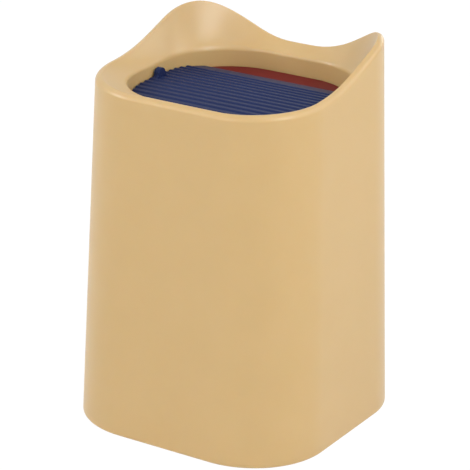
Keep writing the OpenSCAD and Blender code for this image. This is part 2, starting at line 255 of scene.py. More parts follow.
studio = {
    "skyAtHorizon": 0.2,        # what matt surfaces get from the sky; the camera and gloss see 1
    "skyOverhead": 0.5,
    "floorSize": 12.0,
    "floorColour": "#EDEDEB",
    "floorGlow": 0.9,           # share of plain white in the floor as the camera sees it
    "floorWhite": 1.06,         # makes up for the part that only the lamps light
    "lampAim": Vector((0, 0, 0.15)),
    "lamps": {                  # azimuth and elevation in degrees, distance, width, height, power
        "softboxLeft": (-55, 24, 1.6, 0.5, 0.3, 6.9),
        "softboxFrontLeft": (-15, 24, 1.6, 0.6, 0.4, 4.3),
        "softboxFront": (20, 24, 1.6, 0.8, 0.8, 0.8),
        "softboxRight": (74, 22, 1.5, 0.5, 0.4, 3.7),
        "softboxKey": (74, 37, 1.3, 0.4, 0.2, 4.2),
        "softboxHigh": (55, 60, 1.4, 1.0, 0.8, 2.6),
        "softboxRear": (128, 33, 1.4, 0.7, 0.7, 3.8),
        "softboxBack": (180, 8, 1.6, 0.7, 0.4, 2.4),
        "softboxHighLeft": (-75, 40, 1.4, 0.8, 0.7, 1.6),
    },
}


# 1 for the rays that should meet a white background
def backgroundShare(tree):
    path = addNode(tree, "ShaderNodeLightPath").outputs
    seen = addNode(tree, "ShaderNodeMath", {0: path["Is Camera Ray"], 1: path["Is Glossy Ray"]},
                   operation="MAXIMUM")
    return addNode(tree, "ShaderNodeMath", {0: seen, 1: path["Is Transmission Ray"]},
                   operation="MAXIMUM").outputs[0]


def makeStudio():
    world = bpy.data.worlds.new("studioSky")
    scene.world = world
    world.use_nodes = True
    tree = world.node_tree
    way = addNode(tree, "ShaderNodeTexCoord").outputs["Generated"]
    light = addNode(tree, "ShaderNodeMapRange", {
        "Value": addNode(tree, "ShaderNodeSeparateXYZ", {0: way}).outputs["Z"],
        "To Min": studio["skyAtHorizon"], "To Max": studio["skyOverhead"]})
    strength = addNode(tree, "ShaderNodeMapRange", {
        "Value": backgroundShare(tree), "To Min": light.outputs["Result"], "To Max": 1.0})
    sky = tree.nodes["Background"]
    sky.inputs["Color"].default_value = (1, 1, 1, 1)
    tree.links.new(strength.outputs["Result"], sky.inputs["Strength"])

    paint = bpy.data.materials.new("paleFloor")
    paint.use_nodes = True
    tree = paint.node_tree
    tree.nodes.remove(tree.nodes["Principled BSDF"])
    matt = addNode(tree, "ShaderNodeBsdfDiffuse", {"Color": colour(studio["floorColour"])})
    glow = addNode(tree, "ShaderNodeEmission", {"Color": (1, 1, 1, 1), "Strength": studio["floorWhite"]})
    share = addNode(tree, "ShaderNodeMath", {0: backgroundShare(tree), 1: studio["floorGlow"]},
                    operation="MULTIPLY")
    mixed = addNode(tree, "ShaderNodeMixShader", {0: share, 1: matt, 2: glow})
    tree.links.new(mixed.outputs[0], tree.nodes["Material Output"].inputs["Surface"])
    r = studio["floorSize"] / 2
    mesh = bpy.data.meshes.new("floor")
    mesh.from_pydata([(-r, -r, 0), (r, -r, 0), (r, r, 0), (-r, r, 0)], [], [(0, 1, 2, 3)])
    mesh.materials.append(paint)
    floor = placeObject("floor", mesh)

    for name, (azimuth, elevation, distance, width, height, power) in studio["lamps"].items():
        data = bpy.data.lights.new(name, "AREA")
        data.shape = "RECTANGLE"
        data.size = width
        data.size_y = height
        data.energy = power
        lamp = placeObject(name, data)
        away = outward(azimuth, elevation)
        lamp.location = studio["lampAim"] + away * distance
        lamp.rotation_mode = "QUATERNION"
        lamp.rotation_quaternion = away.to_track_quat("Z", "Y")


setCamera()
makeStudio()
print("camera, floor and light are set")


# A new material, its tree, its shader and the place on the object that its patterns hang on
def newMaterial(name):
    material = bpy.data.materials.new(name)
    material.use_nodes = True
    tree = material.node_tree
    place = addNode(tree, "ShaderNodeTexCoord").outputs["Object"]
    return material, tree, tree.nodes["Principled BSDF"], place


polypropylene = {
    "ior": 1.49,
    "glowRadius": (1.0, 0.6, 0.3),      # red light goes farthest under the skin
    "glowDepth": 0.002,
    "glossSwing": 0.015,
}


# Polypropylene, injection moulded in a spark-eroded tool: an even satin skin. Its fine grain
# softens every highlight, and the pigment is very slightly cloudy. The real grain is about
# 0.1 mm and is drawn several times coarser, because it would not show otherwise.
def mouldedPolypropylene(name, finish):
    material, tree, shader, place = newMaterial(name)
    shader.inputs["IOR"].default_value = polypropylene["ior"]
    shader.inputs["Specular IOR Level"].default_value = finish["shine"]
    shader.inputs["Specular Tint"].default_value = colour(finish["shineTint"])
    shader.inputs["Subsurface Weight"].default_value = finish["glow"]
    shader.inputs["Subsurface Radius"].default_value = polypropylene["glowRadius"]
    shader.inputs["Subsurface Scale"].default_value = polypropylene["glowDepth"]
    cloud = addNode(tree, "ShaderNodeTexNoise", {"Vector": place, "Scale": 1 / finish["cloudSize"],
                                                 "Detail": 3.0}).outputs["Fac"]
    grain = addNode(tree, "ShaderNodeTexNoise", {"Vector": place, "Scale": 1 / finish["grainSize"],
                                                 "Detail": 2.0}).outputs["Fac"]
    pigment = addNode(tree, "ShaderNodeMix", data_type="RGBA")
    tree.links.new(cloud, pigment.inputs[0])
    pigment.inputs[6].default_value = colour(finish["colour"])
    pigment.inputs[7].default_value = colour(finish["cloudColour"])
    tree.links.new(pigment.outputs[2], shader.inputs["Base Color"])
    satin = addNode(tree, "ShaderNodeMapRange", {
        "Value": grain, "From Min": 0.3, "From Max": 0.7,
        "To Min": finish["roughness"] - polypropylene["glossSwing"],
        "To Max": finish["roughness"] + polypropylene["glossSwing"]})
    tree.links.new(satin.outputs["Result"], shader.inputs["Roughness"])
    bump = addNode(tree, "ShaderNodeBump", {"Height": grain, "Distance": finish["grainDepth"],
                                            "Strength": 1.0})
    tree.links.new(bump.outputs["Normal"], shader.inputs["Normal"])
    return material


zincPlating = {
    "colour": "#B9BCC0",
    "blotchScale": 900.0,       # blotches about 1.1 mm across
    "roughness": (0.18, 0.42),
}


# Zinc-plated steel, bright dipped: a clean cool metal with faint blotches in its gloss
def zincPlatedSteel():
    material, tree, shader, place = newMaterial("zincPlatedSteel")
    shader.inputs["Base Color"].default_value = colour(zincPlating["colour"])
    shader.inputs["Metallic"].default_value = 1.0
    blotch = addNode(tree, "ShaderNodeTexNoise", {"Vector": place, "Scale": zincPlating["blotchScale"],
                                                  "Detail": 2.0})
    low, high = zincPlating["roughness"]
    gloss = addNode(tree, "ShaderNodeMapRange", {"Value": blotch.outputs["Fac"], "To Min": low,
                                                 "To Max": high})
    tree.links.new(gloss.outputs["Result"], shader.inputs["Roughness"])
    return material


padRubber = {
    "ior": 1.52,
    "colour": "#232323",
    "dustColour": "#343332",
    "dustScale": 400.0,         # patches of dust about 2.5 mm across
    "roughness": (0.6, 0.8),
}


# Black rubber, compression moulded: matt and slightly dusty
def mouldedRubber():
    material, tree, shader, place = newMaterial("mouldedRubber")
    shader.inputs["IOR"].default_value = padRubber["ior"]
    dust = addNode(tree, "ShaderNodeTexNoise", {"Vector": place, "Scale": padRubber["dustScale"],
                                                "Detail": 4.0})
    shade = addNode(tree, "ShaderNodeMix", data_type="RGBA")
    tree.links.new(dust.outputs["Fac"], shade.inputs[0])
    shade.inputs[6].default_value = colour(padRubber["colour"])
    shade.inputs[7].default_value = colour(padRubber["dustColour"])
    tree.links.new(shade.outputs[2], shader.inputs["Base Color"])
    low, high = padRubber["roughness"]
    rough = addNode(tree, "ShaderNodeMapRange", {"Value": dust.outputs["Fac"], "To Min": low,
                                                 "To Max": high})
    tree.links.new(rough.outputs["Result"], shader.inputs["Roughness"])
    return material


# The navy's gloss is tinted blue, or else the sand shell mirrored in it would turn it brown
sandPlastic = mouldedPolypropylene("sandPolypropylene", {
    "colour": "#D0AF79", "cloudColour": "#CCAB73", "cloudSize": 0.02, "shine": 0.6,
    "shineTint": "#FFFFFF", "glow": 0.35, "roughness": 0.36, "grainSize": 0.0010, "grainDepth": 0.000001})
navyPlastic = mouldedPolypropylene("navyPolypropylene", {
    "colour": "#1F2950", "cloudColour": "#1D264A", "cloudSize": 0.012, "shine": 0.24,
    "shineTint": "#A4BCEC", "glow": 0.0, "roughness": 0.42, "grainSize": 0.0008, "grainDepth": 0.000002})
redPlastic = mouldedPolypropylene("redPolypropylene", {
    "colour": "#6C1118", "cloudColour": "#650F16", "cloudSize": 0.012, "shine": 0.08,
    "shineTint": "#FFFFFF", "glow": 0.0, "roughness": 0.36, "grainSize": 0.0008, "grainDepth": 0.000002})
bucketPlastic = mouldedPolypropylene("offWhitePolypropylene", {
    "colour": "#DAD5CA", "cloudColour": "#D4CFC2", "cloudSize": 0.02, "shine": 0.5,
    "shineTint": "#FFFFFF", "glow": 0.0, "roughness": 0.5, "grainSize": 0.0010, "grainDepth": 0.000015})
steel = zincPlatedSteel()
rubber = mouldedRubber()


lug = {
    "radius": 0.0032,
    "footRadius": 0.0025,
    "thickness": 0.003,
    "rise": 0.0015,             # of the pivot above the crown of the ribbed plate
    "sink": 0.0008,             # of its foot into the plate
    "setIn": 0.00004,           # a hair inside the plate's edge
    "edge": 0.00035,
    "pinDepth": 0.0024,
    "pinRadius": 0.0015,
}
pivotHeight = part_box("ribbed_plate")[1].z - lug["radius"]
plateCrown = pivotHeight - lug["rise"]

shell = {
    "footHalf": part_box("outer_shell")[1].x,
    "footCorner": 0.042,
    "tipHalf": 0.0633,          # at the tips of the raised corners
    "tipCorner": 0.0385,
    "tipHeight": 0.203,
    "rimHeight": 0.1836,        # at its lowest, in the middle of the front
    "wall": 0.002,
    "rimRoll": 0.0033,
    "footEdge": 0.0012,
    "throatHalf": 0.052,
    "throatCorner": 0.038,
    "throatHeight": 0.18,
    "dishCurve": 1.3,           # power by which the dish steepens towards the rim
    "throatEdge": 0.002,
    "edgeShare": 0.16,          # share of the dish's width that the throat's rounding starts at
    "collarHeight": 0.016,
    "collarWall": 0.0018,
    "skinDown": 0.0016,         # from the dish to its underside
    "bossRadius": 0.0036,
    "bossLength": 0.0044,
    "boreRadius": 0.00156,
    "straightSteps": 12,
    "cornerSteps": 28,
    "dishSteps": 14,
    "throatSteps": 8,
    "skinSteps": 10,
}
raisedCorners = {
    "Ear Rise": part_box("outer_shell")[1].z - shell["rimHeight"],
    "Ear Place": 0.707,         # of a raised tip, as a share of the way from front to rear
    "Side Reach": 0.505,        # how far the rise runs from the tip, as such a share
    "Rear Reach": 0.266,
    "Side Ease": 3.0,           # the higher, the steeper the last part up to the tip
    "Rear Ease": 1.1,
    "Swell From": 0.1,          # the front rim swells up towards the sides, between these shares
    "Swell To": 0.4,
    "Side Swell": 0.0016,
    "Rear Swell": 0.0009,
    "Material": sandPlastic,
}


# Half width and corner radius of the shell's outside at the height z
def wallSize(z):
    share = z / shell["tipHeight"]
    half = shell["footHalf"] + (shell["tipHalf"] - shell["footHalf"]) * share
    return half, shell["footCorner"] + (shell["tipCorner"] - shell["footCorner"]) * share


# Point that lies the inset inside the shell's outside, at the height z
def wallPoint(z, inset, place):
    half, corner = wallSize(z)
    return outlinePoint(half - inset, corner - inset, place, z)


# The shell's closed section at one place, for a rim of the given height: from the foot up the
# outside, over the rim, down the dish and the collar, and back under the skin to the foot. Rows
# close to the ends of a wall keep the shading of its roundings apart from the flat.
def shellSection(place, top):
    s = shell
    throat = s["throatHeight"]
    rollHeight = top - s["rimRoll"]
    dishOut = wallPoint(rollHeight, s["rimRoll"], place)
    skinOut = wallPoint(rollHeight, s["wall"], place)
    dishIn = outlinePoint(s["throatHalf"], s["throatCorner"], place, throat)
    skinIn = outlinePoint(s["throatHalf"] + s["collarWall"], s["throatCorner"] + s["collarWall"], place, 0)

    def dish(share, inner, outer, low):
        point = inner.lerp(outer, share)
        point.z = low + (top - throat) * share ** s["dishCurve"]
        return point

    points = []
    for out, up in arc((0, 0), s["footEdge"], -90, 0, 6):
        point = wallPoint(0, s["footEdge"] - out, place)
        point.z = s["footEdge"] + up
        points.append(point)
    wallFoot = points[-1]
    wallTop = wallPoint(rollHeight, 0, place)
    points += [wallFoot.lerp(wallTop, share) for share in (0.01, 0.25, 0.5, 0.75, 0.985)]
    for out, up in arc((0, 0), s["rimRoll"], 0, 90, 12):
        point = wallPoint(rollHeight, s["rimRoll"] - out, place)
        point.z = rollHeight + up
        points.append(point)
    steps = s["dishSteps"]
    points += [dish(1 - (1 - s["edgeShare"]) * i / steps, dishIn, dishOut, throat)
               for i in range(1, steps)]
    edgeTop = dish(s["edgeShare"], dishIn, dishOut, throat)
    edgeFoot = dishIn - Vector((0, 0, s["throatEdge"]))
    for i in range(s["throatSteps"] + 1):
        t = i / s["throatSteps"]
        points.append(edgeTop.lerp(dishIn, t).lerp(dishIn.lerp(edgeFoot, t), t))
    collarFoot = throat - s["collarHeight"]
    collarLip = s["collarWall"] / 2
    for along, down in arc((0.5, 0), 0.5, 180, 360, 8):
        point = dishIn.lerp(skinIn, along)
        point.z = collarFoot + collarLip * (1 + 2 * down)
        points.append(point)
    steps = s["skinSteps"]
    points += [dish(i / steps, skinIn, skinOut, throat - s["skinDown"]) for i in range(steps + 1)]
    footLip = s["collarWall"] / 3
    wallLow = wallPoint(0, s["wall"], place)
    wallLow.z = footLip
    points += [points[-1].lerp(wallLow, share) for share in (0.02, 0.5, 0.99)]
    for out, down in arc((0, 0), footLip, 0, -90, 4):
        point = wallPoint(0, s["wall"] - footLip + out, place)
        point.z = footLip + down
        points.append(point)
    return points


# Share of the way from the middle of the front (0) round to the middle of the rear (1)
def outlineShare(place):
    half, corner = wallSize(shell["rimHeight"])
    straight = 2 * (half - corner)
    turn = math.pi * corner / 2
    side, onCorner, share = place
    passed = straight + turn * share if onCorner else straight * share
    run = abs(side * (straight + turn) - straight / 2 + passed)
    return min(run, 4 * (straight + turn) - run) / (2 * (straight + turn))


# The shell with a level rim; each point also keeps how it moves per metre of rim height
def levelShellMesh():
    testRise = 0.01
    places = outlinePlaces(shell["straightSteps"], shell["cornerSteps"])
    level = [shellSection(place, shell["rimHeight"]) for place in places]
    higher = [shellSection(place, shell["rimHeight"] + testRise) for place in places]
    count = len(places)
    n = len(level[0])
    faces = [(i * n + k, (i + 1) % count * n + k, (i + 1) % count * n + (k + 1) % n, i * n + (k + 1) % n)
             for i in range(count) for k in range(n)]
    mesh = closedMesh("levelShell", [point for section in level for point in section], faces)
    rises = [value for i in range(count) for k in range(n)
             for value in (higher[i][k] - level[i][k]) / testRise]
    mesh.attributes.new("riseVector", "FLOAT_VECTOR", "POINT").data.foreach_set("vector", rises)
    shares = [outlineShare(place) for place in places for k in range(n)]
    mesh.attributes.new("outlineShare", "FLOAT", "POINT").data.foreach_set("value", shares)
    return mesh


# Lifts the rim into a smooth wave: 0 where it is level and 1 at the tip of a raised corner. The
# level stretches swell up a little towards the sides and the rear.
def raisedCornersTree():
    tree, given = newGeometryTree("raisedCorners", (
        "Ear Rise", "Ear Place", "Side Reach", "Rear Reach", "Side Ease", "Rear Ease",
        "Swell From", "Swell To", "Side Swell", "Rear Swell"))
    share = addNode(tree, "GeometryNodeInputNamedAttribute", {"Name": "outlineShare"}, data_type="FLOAT")
    rise = addNode(tree, "GeometryNodeInputNamedAttribute", {"Name": "riseVector"},
                   data_type="FLOAT_VECTOR")
    way = share.outputs["Attribute"]
    nearSide = addNode(tree, "FunctionNodeCompare", {0: way, 1: given["Ear Place"]},
                       data_type="FLOAT", operation="LESS_THAN").outputs[0]
    reach = addNode(tree, "GeometryNodeSwitch", {"Switch": nearSide, "False": given["Rear Reach"],
                                                 "True": given["Side Reach"]}, input_type="FLOAT")
    ease = addNode(tree, "GeometryNodeSwitch", {"Switch": nearSide, "False": given["Rear Ease"],
                                                "True": given["Side Ease"]}, input_type="FLOAT")
    off = addNode(tree, "ShaderNodeMath", {0: way, 1: given["Ear Place"]}, operation="SUBTRACT")
    off = addNode(tree, "ShaderNodeMath", {0: off}, operation="ABSOLUTE")
    off = addNode(tree, "ShaderNodeMath", {0: off, 1: reach}, operation="DIVIDE", use_clamp=True)
    turn = addNode(tree, "ShaderNodeMath", {0: off, 1: math.pi}, operation="MULTIPLY")
    wave = addNode(tree, "ShaderNodeMath", {0: turn}, operation="COSINE")
    wave = addNode(tree, "ShaderNodeMath", {0: wave, 1: 0.5, 2: 0.5}, operation="MULTIPLY_ADD",
                   use_clamp=True)
    wave = addNode(tree, "ShaderNodeMath", {0: wave, 1: ease}, operation="POWER")
    swell = addNode(tree, "ShaderNodeMapRange", {
        "Value": way, "From Min": given["Swell From"], "From Max": given["Swell To"],
        "To Min": 0.0, "To Max": given["Side Swell"]}, interpolation_type="SMOOTHSTEP")
    swell = addNode(tree, "GeometryNodeSwitch", {"Switch": nearSide, "False": given["Rear Swell"],
                                                 "True": swell.outputs["Result"]}, input_type="FLOAT")
    rest = addNode(tree, "ShaderNodeMath", {0: given["Ear Rise"], 1: swell}, operation="SUBTRACT")
    lift = addNode(tree, "ShaderNodeMath", {0: wave, 1: rest, 2: swell}, operation="MULTIPLY_ADD")
    offset = addNode(tree, "ShaderNodeVectorMath", {0: rise.outputs["Attribute"],
                                                    "Scale": lift}, operation="SCALE")
    moved = addNode(tree, "GeometryNodeSetPosition", {"Geometry": given["Geometry"], "Offset": offset})
    endGeometryTree(tree, moved, given["Material"])
    return tree


def makeShell():
    s = shell
    piece = grow("outerShell", levelShellMesh(), raisedCornersTree(), raisedCorners)
    bosses = [crossRod("boss", side, pivotHeight, s["throatHalf"] + s["collarWall"] / 2,
                       s["throatHalf"] + s["bossLength"], s["bossRadius"]) for side in (-1, 1)]
    bores = [crossRod("bore", side, pivotHeight, s["throatHalf"] - overshoot,
                      s["throatHalf"] + s["bossLength"] + overshoot, s["boreRadius"]) for side in (-1, 1)]
    piece = carve(piece, "outerShell", bosses, bores)
    finishPiece(piece, 35, "shell", "shell_plastic", "outer_shell")


makeShell()


ribbedPlate = {
    "half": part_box("ribbed_plate")[1].x,
    "corner": 0.0369,
    "rear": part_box("ribbed_plate")[1].y,
    "thickness": 0.0016,
    "edge": 0.00025,
    "arch": 0.275,
    "ribPitch": 0.0046,
    "ribCount": 17,
    "ribHeight": 0.0007,
    "ribRadius": 0.0015,
    "ribFoot": 0.00025,         # softness of the hollow between a rib and the plate
    "lastRib": 0.0256,
}
basePlate = {
    "half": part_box("base_plate")[1].x,
    "corner": 0.0361,
    "thickness": 0.0018,
    "edge": 0.00025,
    "arch": 0.2733,             # a hair below the ribbed plate's underside
    "flatFrom": ribbedPlate["rear"],
    "rear": ribbedPlate["rear"] + 0.0026,       # runs on a little way into the lip
}
# The rear of the base plate: a raised level strip behind a groove
lip = {
    "half": basePlate["half"] - 0.00002,        # a hair inside, so that no two faces coincide
    "corner": basePlate["corner"],
    "thickness": basePlate["thickness"],
    "edge": 0.00035,
    "front": ribbedPlate["rear"] + 0.0008,      # the groove's width behind the ribbed plate
    "rear": basePlate["half"] - 0.00002,
    "rise": 0.0011,
}
plateScrew = {
    "x": 0.028,
    "front": -0.028,
    "rear": 0.024,
    "bossRadius": 0.0026,
    "seatRadius": 0.0046,
    "seatDrop": 0.001,
    "bossShort": 0.0002,        # the boss ends short of the head, which presses on the base plate
    "gap": 0.0002,
    "cover": 0.0006,            # plastic left over the screw's point
}
weightScrew = {
    "x": 0.0085,
    "y": 0.0414,
    "bossHeight": 0.003,
    "stripThickness": 0.001,    # of the balance weight that it holds
}
screw = {
    "radius": 0.0011,
    "root": 0.0008,
    "threadPitch": 0.0009,
    "rowsPerPitch": 6,
    "pointLength": 0.0012,
    "pointShare": 0.35,         # of the full radius, at the tip
    "sink": 0.0003,             # of the shank into the head
    "headRadius": 0.0035,
    "headHeight": 0.0013,
    "headRounding": 0.0008,
    "slotWidth": 0.0008,
    "slotLength": 0.0035,
    "slotDepth": 0.00075,
    "slotTaper": 0.55,
}


# Height of one of the lid's arches at the distance y from the pivot; they share one centre
def archHeight(y, radius):
    return plateCrown - ribbedPlate["arch"] + math.sqrt(radius * radius - y * y)


# Distances from the pivot at which a plate gets a row of points: close together where the
# outline turns and over each rib
def plateRows(plate):
    half, corner, edge = plate["half"], plate["corner"], plate["edge"]
    flat = half - corner
    turning = [flat + (corner - edge) * math.cos(math.radians(a)) for a in range(0, 90, 3)]
    first = plate.get("front", -half) + edge
    last = plate["rear"] - edge
    rows = [-y for y in turning] + turning + [flat * i / 4 for i in range(-4, 5)]
    fromRib = (0, 0.4, 0.75, 1.0, 1.13, 1.22, 1.3, 1.42, 1.7, 2.3)     # millimetres
    for i in range(plate.get("ribCount", 0)):
        centre = plate["lastRib"] - i * plate["ribPitch"]
        rows += [centre + sign * step * 0.001 for step in fromRib for sign in (-1, 1)]
    leastStep, lastStep = 0.00006, 0.0004
    kept = [first]
    for y in sorted(rows):
        if kept[-1] + leastStep < y < last - lastStep:
            kept.append(y)
    return kept + [last]


# Point on a plate's right edge: y is its row, and inset says how far inside the outline it is
def plateEdgePoint(plate, y, inset):
    flat = plate["half"] - plate["corner"]
    cut = None
    if y >= plate["rear"] - plate["edge"] and plate["rear"] < plate["half"]:
        cut = plate["rear"] - inset
    if y <= plate.get("front", -1) + plate["edge"]:
        cut = plate["front"] + inset
    if cut:
        return flat + math.sqrt((plate["corner"] - inset) ** 2 - (cut - flat) ** 2), cut
    if abs(y) <= flat:
        return plate["half"] - inset, y
    lean = min(1, (abs(y) - flat) / (plate["corner"] - plate["edge"]))
    radius = plate["corner"] - inset
    return (flat + radius * math.sqrt(1 - lean * lean),
            math.copysign(flat + radius * lean, y))


# Flat closed plate with rounded edges. Each point keeps its depth below the upper face and
# whether the ribs lift it.
def flatPlateMesh(name, plate):
    rows = plateRows(plate)
    shares = (-1, -0.985, -0.8, -0.4, 0, 0.4, 0.8, 0.985, 1)
    columns = len(shares)
    edge, thickness = plate["edge"], plate["thickness"]
    points, depths, lifts, faces = [], [], [], []

    def addLevel(inset, depth, lifted):
        right = [plateEdgePoint(plate, y, inset) for y in rows]
        loop = [(share * right[0][0], right[0][1]) for share in shares]
        loop += right[1:-1]
        loop += [(share * right[-1][0], right[-1][1]) for share in reversed(shares)]
        loop += [(-x, y) for x, y in reversed(right[1:-1])]
        points.extend((x, y, -depth) for x, y in loop)
        depths.extend([depth] * len(loop))
        lifts.extend([lifted] * len(loop))

    # Fills one face of the plate, between the two ends of every row of its loop
    def addFace(start, depth, lifted):
        grid = [[start + i for i in range(columns)]]
        count = len(rows) - 2
        for j in range(count):
            right = start + columns + j
            left = start + 2 * columns + 2 * count - 1 - j
            x, y, _ = points[right]
            row = [left]
            for share in shares[1:-1]:
                row.append(len(points))
                points.append((share * x, y, -depth))
                depths.append(depth)
                lifts.append(lifted)
            grid.append(row + [right])
        rearStart = start + columns + count
        grid.append([rearStart + columns - 1 - i for i in range(columns)])
        for low, high in zip(grid, grid[1:]):
            faces.extend((low[i], low[i + 1], high[i + 1], high[i]) for i in range(columns - 1))

    rounding = arc((0, 0), edge, 90, 0, 3)
    levels = [(edge - out, edge - up, 1.0) for out, up in rounding]
    levels += [(edge - out, thickness - edge + up, 0.0) for out, up in reversed(rounding)]
    for inset, depth, lifted in levels:
        addLevel(inset, depth, lifted)
    ringSize = len(points) // len(levels)
    faces.extend(ringFaces(len(levels), ringSize))
    addFace(0, 0.0, 1.0)
    addFace((len(levels) - 1) * ringSize, thickness, 0.0)
    mesh = closedMesh(name, points, faces)
    mesh.attributes.new("depth", "FLOAT", "POINT").data.foreach_set("value", depths)
    mesh.attributes.new("lifted", "FLOAT", "POINT").data.foreach_set("value", lifts)
    return mesh


# Bends a flat plate to its arch and raises round ribs at an even pitch across it
def archedPlateTree():
    tree, given = newGeometryTree("archedPlate", (
        "Arch Centre", "Arch Radius", "Flat From", "Last Rib", "Rib Pitch", "Rib Count",
        "Rib Height", "Rib Radius", "Rib Foot"))
    place = addNode(tree, "GeometryNodeInputPosition")
    place = addNode(tree, "ShaderNodeSeparateXYZ", {0: place}).outputs
    depth = addNode(tree, "GeometryNodeInputNamedAttribute", {"Name": "depth"}, data_type="FLOAT")
    lifted = addNode(tree, "GeometryNodeInputNamedAttribute", {"Name": "lifted"}, data_type="FLOAT")

    along = addNode(tree, "ShaderNodeMath", {0: place["Y"], 1: given["Flat From"]}, operation="MINIMUM")
    along = addNode(tree, "ShaderNodeMath", {0: along, 1: 2.0}, operation="POWER")
    radius = addNode(tree, "ShaderNodeMath", {0: given["Arch Radius"], 1: depth.outputs["Attribute"]},
                     operation="SUBTRACT")
    arch = addNode(tree, "ShaderNodeMath", {0: radius, 1: 2.0}, operation="POWER")
    arch = addNode(tree, "ShaderNodeMath", {0: arch, 1: along}, operation="SUBTRACT")
    arch = addNode(tree, "ShaderNodeMath", {0: arch}, operation="SQRT")
    arch = addNode(tree, "ShaderNodeMath", {0: arch, 1: given["Arch Centre"]}, operation="ADD")

    number = addNode(tree, "ShaderNodeMath", {0: given["Last Rib"], 1: place["Y"]}, operation="SUBTRACT")
    number = addNode(tree, "ShaderNodeMath", {0: number, 1: given["Rib Pitch"]}, operation="DIVIDE")
    number = addNode(tree, "ShaderNodeMath", {0: number}, operation="ROUND")
    last = addNode(tree, "ShaderNodeMath", {0: given["Rib Count"], 1: 1.0}, operation="SUBTRACT")
    number = addNode(tree, "ShaderNodeClamp", {"Value": number, "Min": 0.0, "Max": last})
    way = addNode(tree, "ShaderNodeMath", {0: number, 1: given["Rib Pitch"],
                                           2: place["Y"]}, operation="MULTIPLY_ADD")
    way = addNode(tree, "ShaderNodeMath", {0: way, 1: given["Last Rib"]}, operation="SUBTRACT")
    way = addNode(tree, "ShaderNodeMath", {0: way}, operation="ABSOLUTE")
    way = addNode(tree, "ShaderNodeMath", {0: way, 1: 2.0}, operation="POWER")
    rib = addNode(tree, "ShaderNodeMath", {0: given["Rib Radius"], 1: 2.0}, operation="POWER")
    rib = addNode(tree, "ShaderNodeMath", {0: rib, 1: way}, operation="SUBTRACT")
    rib = addNode(tree, "ShaderNodeMath", {0: rib, 1: 0.0}, operation="MAXIMUM")
    rib = addNode(tree, "ShaderNodeMath", {0: rib}, operation="SQRT")
    sunk = addNode(tree, "ShaderNodeMath", {0: given["Rib Height"], 1: given["Rib Radius"]},
                   operation="SUBTRACT")
    rib = addNode(tree, "ShaderNodeMath", {0: rib, 1: sunk}, operation="ADD")
    rib = addNode(tree, "ShaderNodeMath", {0: rib, 1: 0.0, 2: given["Rib Foot"]}, operation="SMOOTH_MAX")
    height = addNode(tree, "ShaderNodeMath", {0: rib, 1: lifted.outputs["Attribute"],
                                              2: arch}, operation="MULTIPLY_ADD")
    point = addNode(tree, "ShaderNodeCombineXYZ", {0: place["X"], 1: place["Y"], 2: height})
    moved = addNode(tree, "GeometryNodeSetPosition", {"Geometry": given["Geometry"], "Position": point})
    endGeometryTree(tree, moved, given["Material"])
    return tree


# Round-topped tab with hollow flanks that stands on the ribbed plate and holds a pivot pin
def lugMesh(side):
    radius, foot, rise = lug["radius"], lug["footRadius"], lug["rise"]
    level = foot - rise                     # of the flank's centre above the pivot
    reach = math.sqrt((radius + foot) ** 2 - level ** 2)
    meet = math.degrees(math.atan2(level, reach))
    outline = arc((0, 0), radius, meet, 180 - meet, 28)
    outline += arc((-reach, level), foot, -meet, -90, 10)
    outline += [(-reach, -rise - lug["sink"]), (reach, -rise - lug["sink"])]
    outline += arc((reach, level), foot, 270, 180 + meet, 10)
    outer = ribbedPlate["half"] - lug["setIn"]
    ends = [outer - lug["thickness"], outer]
    n = len(outline)
    points = [(x, y, pivotHeight + z) for x in ends for y, z in outline]
    faces = ringFaces(2, n) + [tuple(range(n)), tuple(range(2 * n - 1, n - 1, -1))]
    piece = roundEdges(placeObject("lug", closedMesh("lug", points, faces)), "lug", lug["edge"])
    mesh = piece.data
    bpy.data.objects.remove(piece)
    if side < 0:
        mesh.transform(Matrix.Scale(-1, 4, (1, 0, 0)))
        mesh.flip_normals()
    return mesh


plateScrewPlaces = [(side * plateScrew["x"], y) for side in (-1, 1)
                    for y in (plateScrew["front"], plateScrew["rear"])]
weightScrewPlaces = [(side * weightScrew["x"], weightScrew["y"]) for side in (-1, 1)]
baseUnderside = basePlate["arch"] - basePlate["thickness"]
lipUnderside = archHeight(basePlate["flatFrom"], basePlate["arch"]) + lip["rise"] - lip["thickness"]
weightTop = lipUnderside - weightScrew["bossHeight"]


# Height of the flat seat that a plate screw's head presses on
def screwSeat(y):
    return archHeight(abs(y) + plateScrew["seatRadius"], baseUnderside) - plateScrew["seatDrop"]


def makeRibbedPlate(tree):
    p = ribbedPlate
    piece = grow("ribbedPlate", flatPlateMesh("flatRibbedPlate", p), tree, {
        "Arch Centre": plateCrown - p["arch"], "Arch Radius": p["arch"], "Flat From": p["half"],
        "Last Rib": p["lastRib"], "Rib Pitch": p["ribPitch"], "Rib Count": float(p["ribCount"]),
        "Rib Height": p["ribHeight"], "Rib Radius": p["ribRadius"], "Rib Foot": p["ribFoot"],
        "Material": navyPlastic})
    adds = [lugMesh(side) for side in (-1, 1)]
    adds += [rod("screwBoss", x, y, screwSeat(y) + plateScrew["bossShort"],
                 archHeight(y, p["arch"] - p["thickness"] / 2), plateScrew["bossRadius"])
             for x, y in plateScrewPlaces]
    cuts = [rod("pilot", x, y, screwSeat(y) - overshoot, archHeight(y, p["arch"]) - plateScrew["cover"],
                screw["radius"], 24) for x, y in plateScrewPlaces]
    cuts += [crossRod("pinSeat", side, pivotHeight, p["half"] - lug["pinDepth"], p["half"] + overshoot,
                      lug["pinRadius"]) for side in (-1, 1)]
    piece = carve(piece, "ribbedPlate", adds, cuts)
    finishPiece(piece, 30, "lid", "lid_top_plastic", "ribbed_plate")


